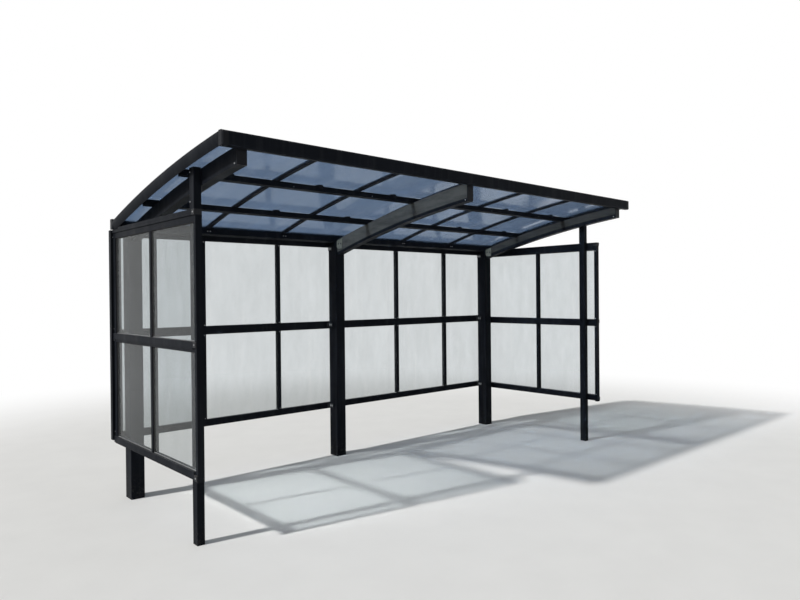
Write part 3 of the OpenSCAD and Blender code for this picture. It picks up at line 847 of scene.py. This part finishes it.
class SHELTER_OT_fit_sheet_gaskets(ShelterOperator):
    """Fit the rubber gaskets along the roof sheets' edges, above and below"""
    bl_idname = "shelter.fit_sheet_gaskets"
    bl_label = "Fit the sheet gaskets"

    def execute(self, context):
        width = context.scene.shelter_details.gasket_width
        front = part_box("front_frame")[1][1]
        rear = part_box("glazing_bars")[1][1]
        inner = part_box("purlin_front")[1][0]
        sides = [edge[0] for box in solid_boxes("glazing_bars") for edge in box]
        edges = [-inner, *sides, inner]
        seat, foot = 0.0004, 0.0008
        work = bmesh.new()
        for left, right in zip(edges[::2], edges[1::2]):
            for rise, way in ((SHEET_OVER, 1), (SHEET_UNDER, -1)):
                tip = rise + way * 0.8 * width
                for x, inward in ((left, 1), (right, -1)):
                    section = ((rise, -seat * inward), (rise, width * inward),
                               (rise + way * foot, width * inward), (tip, 0.3 * width * inward),
                               (tip, -seat * inward))
                    sweep(work, arch_path(x, front, rear), RIGHT, section)
                section = ((-seat, 0), (width, 0), (width, way * foot),
                           (0.3 * width, way * 0.8 * width), (-seat, way * 0.8 * width))
                path = [on_arch(x, front, rise) for x in (left, right)]
                sweep(work, path, arch_ways(front)[0], section)
        new_piece("roof_sheet_gaskets", work, rubber())
        return {"FINISHED"}


class SHELTER_OT_clip_purlins(ShelterOperator):
    """Set the sheet clips on the purlins, one under the middle of each sheet"""
    bl_idname = "shelter.clip_purlins"
    bl_label = "Clip the purlins"

    def execute(self, context):
        long, deep, tab, lip, drop = 0.060, 0.030, 0.036, 0.003, 0.034
        body_edge, tab_edge = 0.0015, 0.0008
        face = -PURLIN_WIDTH / 2
        screw_rise = PURLIN_TOP - 0.008
        radius = context.scene.shelter_details.screw_radius
        work = bmesh.new()
        screws = bmesh.new()
        sheets = [box for node in SHEET_NODES for box in solid_boxes(node)]
        for purlin in PURLINS:
            low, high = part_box(purlin)
            y = middle(low[1], high[1])
            out, back = arch_ways(y)
            turn = Matrix((RIGHT, back, out)).transposed()
            for left, right in sheets:
                x = middle(left[0], right[0])
                body = on_arch(x, y, middle(PURLIN_TOP, SHEET_UNDER))
                add_block(work, body, (long, deep, SHEET_UNDER - PURLIN_TOP), turn, body_edge)
                front = on_arch(x, y, SHEET_UNDER - drop / 2, face - lip / 2)
                add_block(work, front, (tab, lip, drop), turn, tab_edge)
                top = on_arch(x, y, SHEET_UNDER - lip / 2, face / 2)
                add_block(work, top, (tab, lip - face, lip), turn, tab_edge)
                add_screw(screws, on_arch(x, y, screw_rise, face - lip), -back, radius)
        new_piece("purlin_sheet_clips", work, black_plastic())
        new_piece("purlin_clip_screws", screws, black_plastic())
        return {"FINISHED"}


class SHELTER_OT_screw_roof(ShelterOperator):
    """Drive the roof's screws: bar caps, front purlin and rear frame"""
    bl_idname = "shelter.screw_roof"
    bl_label = "Screw the roof"

    def execute(self, context):
        details = context.scene.shelter_details
        radius = details.screw_radius
        front_gap, rear_gap = 0.060, 0.040
        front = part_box("front_frame")[1][1] + front_gap
        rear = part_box("glazing_bars")[1][1] - rear_gap
        bars = [middle(low[0], high[0]) for low, high in solid_boxes("glazing_bars")]
        work = bmesh.new()
        for x in bars:
            for i in range(details.bar_screws):
                y = front + (rear - front) * i / (details.bar_screws - 1)
                add_screw(work, on_arch(x, y, BAR_TOP), arch_ways(y)[0], radius)
        new_piece("bar_cap_screws", work, screw_metal())
        beside_bar, above_foot = 0.124, 0.012
        work = bmesh.new()
        low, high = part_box("purlin_front")
        y = middle(low[1], high[1])
        rise = PURLIN_TOP - PURLIN_WIDTH + above_foot
        for x in bars:
            place = on_arch(x + beside_bar, y, rise, -PURLIN_WIDTH / 2)
            add_screw(work, place, -arch_ways(y)[1], radius)
        new_piece("purlin_screws", work, screw_metal())
        half_pair = 0.012
        work = bmesh.new()
        rise = PURLIN_TOP - REAR_FRAME_WIDTH / 2
        for x in bars:
            for shift in (-half_pair, half_pair):
                place = on_arch(x + shift, REAR_FRAME_Y, rise, -REAR_FRAME_WIDTH / 2)
                add_screw(work, place, -arch_ways(REAR_FRAME_Y)[1], radius)
        new_piece("rear_frame_screws", work, screw_metal())
        return {"FINISHED"}


class SHELTER_OT_screw_beams(ShelterOperator):
    """Drive the screws of the beams' tip caps and the posts' heads"""
    bl_idname = "shelter.screw_beams"
    bl_label = "Screw the beams and posts"

    def execute(self, context):
        radius = context.scene.shelter_details.screw_radius
        from_edge, behind_tip, lower_screw = 0.012, 0.030, 0.195
        work = bmesh.new()
        for beam, depth in zip(BEAMS, BEAM_DEPTHS):
            low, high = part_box(beam)
            for x, way in ((low[0], -1), (high[0], 1)):
                place = on_arch(x, low[1] + behind_tip, from_edge - depth)
                add_screw(work, place, RIGHT * way, radius)
        for post, way in (("support_post_left", -1), ("support_post_right", 1)):
            low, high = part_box(post)
            outer = low[0] if way < 0 else high[0]
            top = on_arch(0, high[1]).z
            for drop in (from_edge, lower_screw):
                place = Vector((outer, high[1] - from_edge, top - drop))
                add_screw(work, place, RIGHT * way, radius)
        new_piece("beam_and_post_screws", work, screw_metal())
        return {"FINISHED"}


class SHELTER_OT_shoe_beams(ShelterOperator):
    """Fit the cast shoes that hold the beams' rear ends to the columns"""
    bl_idname = "shelter.shoe_beams"
    bl_label = "Shoe the beams"

    def execute(self, context):
        long, thickness, toe_round, heel_round = 0.080, 0.006, 0.012, 0.030
        overlap, top_gap, foot = 0.004, 0.010, 1.984
        bolt_radius, bolt_rise, behind_toe, before_heel = 0.0055, 0.045, 0.018, 0.028
        work = bmesh.new()
        bolts = bmesh.new()
        for beam in BEAMS:
            low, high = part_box(beam)
            heel = high[1] + overlap
            toe = high[1] - long
            for x, way in ((low[0], -1), (high[0], 1)):
                outline = [on_arch(x, toe, -top_gap), on_arch(x, heel, -top_gap)]
                outline += corner_arc(x, heel - heel_round, foot + heel_round, heel_round, 0)
                outline += corner_arc(x, toe + toe_round, foot + toe_round, toe_round, -90)
                add_plate(work, outline, RIGHT * way, thickness)
                for y in (toe + behind_toe, heel - before_heel):
                    place = Vector((x + thickness * way, y, foot + bolt_rise))
                    add_bolt(bolts, place, RIGHT * way, bolt_radius)
        new_piece("beam_shoes", work, shared("Cast metal with painted light", cast_painted_light))
        new_piece("beam_shoe_bolts", bolts, cast_metal())
        return {"FINISHED"}


class SHELTER_OT_fasten_panels(ShelterOperator):
    """Drive the panels' screws at their corners and crossings"""
    bl_idname = "shelter.fasten_panels"
    bl_label = "Fasten the panels"

    def execute(self, context):
        smaller, from_rail, from_end = 0.85, 0.011, 0.02
        radius = context.scene.shelter_details.screw_radius * smaller
        work = bmesh.new()
        rails = sorted(solid_boxes("back_panel_rails"), key=lambda box: box[0][2])
        foot, top = rails[0][0][2], rails[-1][1][2]
        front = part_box("back_panel_rails")[0][1]
        uprights = solid_boxes("back_panel_uprights")
        for x in sorted({round(middle(low[0], high[0]), 4) for low, high in uprights}):
            for low, high in rails:
                for z in (low[2] - from_rail, high[2] + from_rail):
                    if foot < z < top:
                        add_screw(work, Vector((x, front, z)), FRONT, radius)
        new_piece("back_panel_screws", work, screw_metal())
        for side, way in (("left", -1), ("right", 1)):
            work = bmesh.new()
            uprights = solid_boxes(f"{side}_panel_uprights")
            inner = min(abs(edge[0]) for box in uprights for edge in box) * way
            for low, high in uprights:
                y = middle(low[1], high[1])
                for rail_low, rail_high in solid_boxes(f"{side}_panel_rails"):
                    for z in (rail_low[2] - from_rail, rail_high[2] + from_rail):
                        if low[2] + from_end < z < high[2] - from_end:
                            add_screw(work, Vector((inner, y, z)), RIGHT * -way, radius)
            new_piece(f"{side}_panel_screws", work, screw_metal())
        return {"FINISHED"}


class SHELTER_OT_bolt_brackets(ShelterOperator):
    """Bolt the brackets to the columns and screw the end pieces"""
    bl_idname = "shelter.bolt_brackets"
    bl_label = "Bolt the brackets"

    def execute(self, context):
        details = context.scene.shelter_details
        # Brackets are shorter along the roof than the spacers, which have no bolts
        smaller, thickness, least_spacer, bolt_places = 0.7, 0.003, 0.030, (0.014, 0.038)
        bolts = bmesh.new()
        screws = bmesh.new()
        columns = [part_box(name) for name in COLUMNS]
        for low, high in solid_boxes("rail_brackets"):
            spot = Vector([middle(a, b) for a, b in zip(low, high)])
            if high[1] < 0:
                way = -1 if spot.x < 0 else 1
                outer = Vector((low[0] if way < 0 else high[0], spot.y, spot.z))
                add_screw(screws, outer, RIGHT * way, details.screw_radius)
            elif high[0] - low[0] < least_spacer:
                near = min(columns, key=lambda box: abs(middle(box[0][0], box[1][0]) - spot.x))
                way = 1 if spot.x > middle(near[0][0], near[1][0]) else -1
                face = (near[1][0] if way > 0 else near[0][0]) + way * thickness
                for reach in bolt_places:
                    place = Vector((face, low[1] + reach, spot.z))
                    add_bolt(bolts, place, RIGHT * way, details.bolt_radius * smaller)
        new_piece("bracket_bolts", bolts, screw_metal())
        new_piece("end_piece_screws", screws, screw_metal())
        return {"FINISHED"}


class SHELTER_OT_cover_side_rails(ShelterOperator):
    """Clip the cover strips on the side panels' middle and bottom rails"""
    bl_idname = "shelter.cover_side_rails"
    bl_label = "Cover the side rails"

    def execute(self, context):
        height = context.scene.shelter_details.strip_height
        proud, wall, turn = 0.008, 0.0015, 0.0012
        for side, way in (("left", -1), ("right", 1)):
            work = bmesh.new()
            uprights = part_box(f"{side}_panel_uprights")
            face = uprights[0][0] if way < 0 else uprights[1][0]
            pieces = [box for box in solid_boxes("rail_brackets")
                      if box[1][1] < 0 and middle(box[0][0], box[1][0]) * way > 0]
            front = max(box[1][1] for box in pieces)
            rear = uprights[1][1]
            rails = sorted(solid_boxes(f"{side}_panel_rails"), key=lambda box: box[0][2])
            for _, high in rails[:2]:
                top = high[2]
                foot = top - height
                shape = ((foot + wall, -SEAT), (foot + wall, proud - wall - turn),
                         (foot, proud - wall), (foot, proud - turn), (foot + turn, proud),
                         (top - turn, proud), (top, proud - turn), (top, -SEAT),
                         (top - wall, -SEAT), (top - wall, proud - wall),
                         (foot + 2 * wall, proud - wall), (foot + 2 * wall, -SEAT))
                path = [Vector((face, y, 0)) for y in (front, rear)]
                sweep(work, path[::way], RIGHT * way, shape)
            coat = shared("Black powder coat", powder_coat)
            new_piece(f"{side}_rail_cover_strips", work, coat)
        return {"FINISHED"}


# The studio

def view_matrix(view):
    """Camera matrix from its place, yaw, pitch and roll."""
    forward = Vector((
        math.sin(view.yaw) * math.cos(view.pitch),
        math.cos(view.yaw) * math.cos(view.pitch),
        math.sin(view.pitch)))
    level = Vector((math.cos(view.yaw), -math.sin(view.yaw), 0))
    below = forward.cross(level)
    right = math.cos(view.roll) * level + math.sin(view.roll) * below
    down = math.cos(view.roll) * below - math.sin(view.roll) * level
    axes = Matrix((right, -down, -forward)).transposed()
    return Matrix.Translation(view.place) @ axes.to_4x4()


def add_camera(view):
    """Camera at the photograph's place, turned as the photograph was."""
    camera = bpy.data.cameras.new("photo_camera")
    camera.sensor_width = 36
    camera.lens = view.focal_length
    camera.clip_end = 200
    holder = bpy.data.objects.new("photo_camera", camera)
    bpy.context.collection.objects.link(holder)
    holder.matrix_world = view_matrix(view)
    bpy.context.scene.camera = holder


def add_main_lamp(light):
    """Soft far lamp in the direction of the photograph's light."""
    lamp = bpy.data.lights.new("main_lamp", "SUN")
    lamp.energy = light.lamp
    lamp.angle = light.softness
    lamp.color = LAMP_TINT
    holder = bpy.data.objects.new("main_lamp", lamp)
    bpy.context.collection.objects.link(holder)
    holder.location = Vector(light.direction) * -LAMP_DISTANCE
    holder.rotation_euler = Vector(light.direction).to_track_quat("-Z", "Y").to_euler()


def white_world(light):
    """World that lights plainly and looks white to the camera, in gloss and through the sheets."""
    world = bpy.data.worlds.new("studio")
    bpy.context.scene.world = world
    world.use_nodes = True
    tree = world.node_tree
    tree.nodes.clear()
    lit = tree.nodes.new("ShaderNodeBackground")
    lit.inputs["Color"].default_value = (*ROUND_TINT, 1)
    lit.inputs["Strength"].default_value = light.ambient
    seen = tree.nodes.new("ShaderNodeBackground")
    seen.inputs["Color"].default_value = (1, 1, 1, 1)
    seen.inputs["Strength"].default_value = 1.0
    tree.nodes.new("ShaderNodeOutputWorld")
    choose_shader(tree, seen_ray(tree), lit, seen)


class SHELTER_OT_stage(ShelterOperator):
    """Set the studio: floor, world, lamp and camera"""
    bl_idname = "shelter.stage"
    bl_label = "Set the stage"

    def execute(self, context):
        reach, plain_from, plain_to = 60.0, 3.5, 8.0
        floor = bpy.data.meshes.new("studio_floor")
        floor.from_pydata(
            [(-reach, -reach, 0), (reach, -reach, 0), (reach, reach, 0), (-reach, reach, 0)],
            [], [(0, 1, 2, 3)])
        floor.materials.append(studio_floor(context.scene.shelter_finish, plain_from, plain_to))
        holder = bpy.data.objects.new("studio_floor", floor)
        context.collection.objects.link(holder)
        white_world(context.scene.shelter_light)
        add_main_lamp(context.scene.shelter_light)
        add_camera(context.scene.shelter_camera)
        context.scene.view_settings.view_transform = "Standard"
        return {"FINISHED"}


OPERATORS = (
    SHELTER_OT_coat_frame,
    SHELTER_OT_finish_caps,
    SHELTER_OT_tint_roof_sheets,
    SHELTER_OT_clear_panes,
    SHELTER_OT_finish_brackets,
    SHELTER_OT_fit_pane_beads,
    SHELTER_OT_fit_sheet_gaskets,
    SHELTER_OT_clip_purlins,
    SHELTER_OT_screw_roof,
    SHELTER_OT_screw_beams,
    SHELTER_OT_shoe_beams,
    SHELTER_OT_fasten_panels,
    SHELTER_OT_bolt_brackets,
    SHELTER_OT_cover_side_rails,
    SHELTER_OT_stage,
)
GROUPS = (
    (ShelterFinish, "shelter_finish"),
    (ShelterDetails, "shelter_details"),
    (ShelterCamera, "shelter_camera"),
    (ShelterLight, "shelter_light"),
)


class SHELTER_PT_sidebar(bpy.types.Panel):
    """Lists the shelter's operators and settings"""
    bl_idname = "SHELTER_PT_sidebar"
    bl_label = "Bike shelter"
    bl_space_type = "VIEW_3D"
    bl_region_type = "UI"
    bl_category = "Shelter"

    def draw(self, context):
        for operator in OPERATORS:
            self.layout.operator(operator.bl_idname)
        for kind, name in GROUPS:
            box = self.layout.box()
            for setting in kind.__annotations__:
                box.prop(getattr(context.scene, name), setting)


def register():
    for kind, name in GROUPS:
        bpy.utils.register_class(kind)
        setattr(bpy.types.Scene, name, PointerProperty(type=kind))
    for kind in OPERATORS + (SHELTER_PT_sidebar,):
        bpy.utils.register_class(kind)


def unregister():
    for kind in (SHELTER_PT_sidebar,) + OPERATORS[::-1]:
        bpy.utils.unregister_class(kind)
    for kind, name in GROUPS[::-1]:
        delattr(bpy.types.Scene, name)
        bpy.utils.unregister_class(kind)


def main():
    register()
    for operator in OPERATORS:
        group, name = operator.bl_idname.split(".")
        getattr(getattr(bpy.ops, group), name)()


if __name__ == "__main__":
    main()
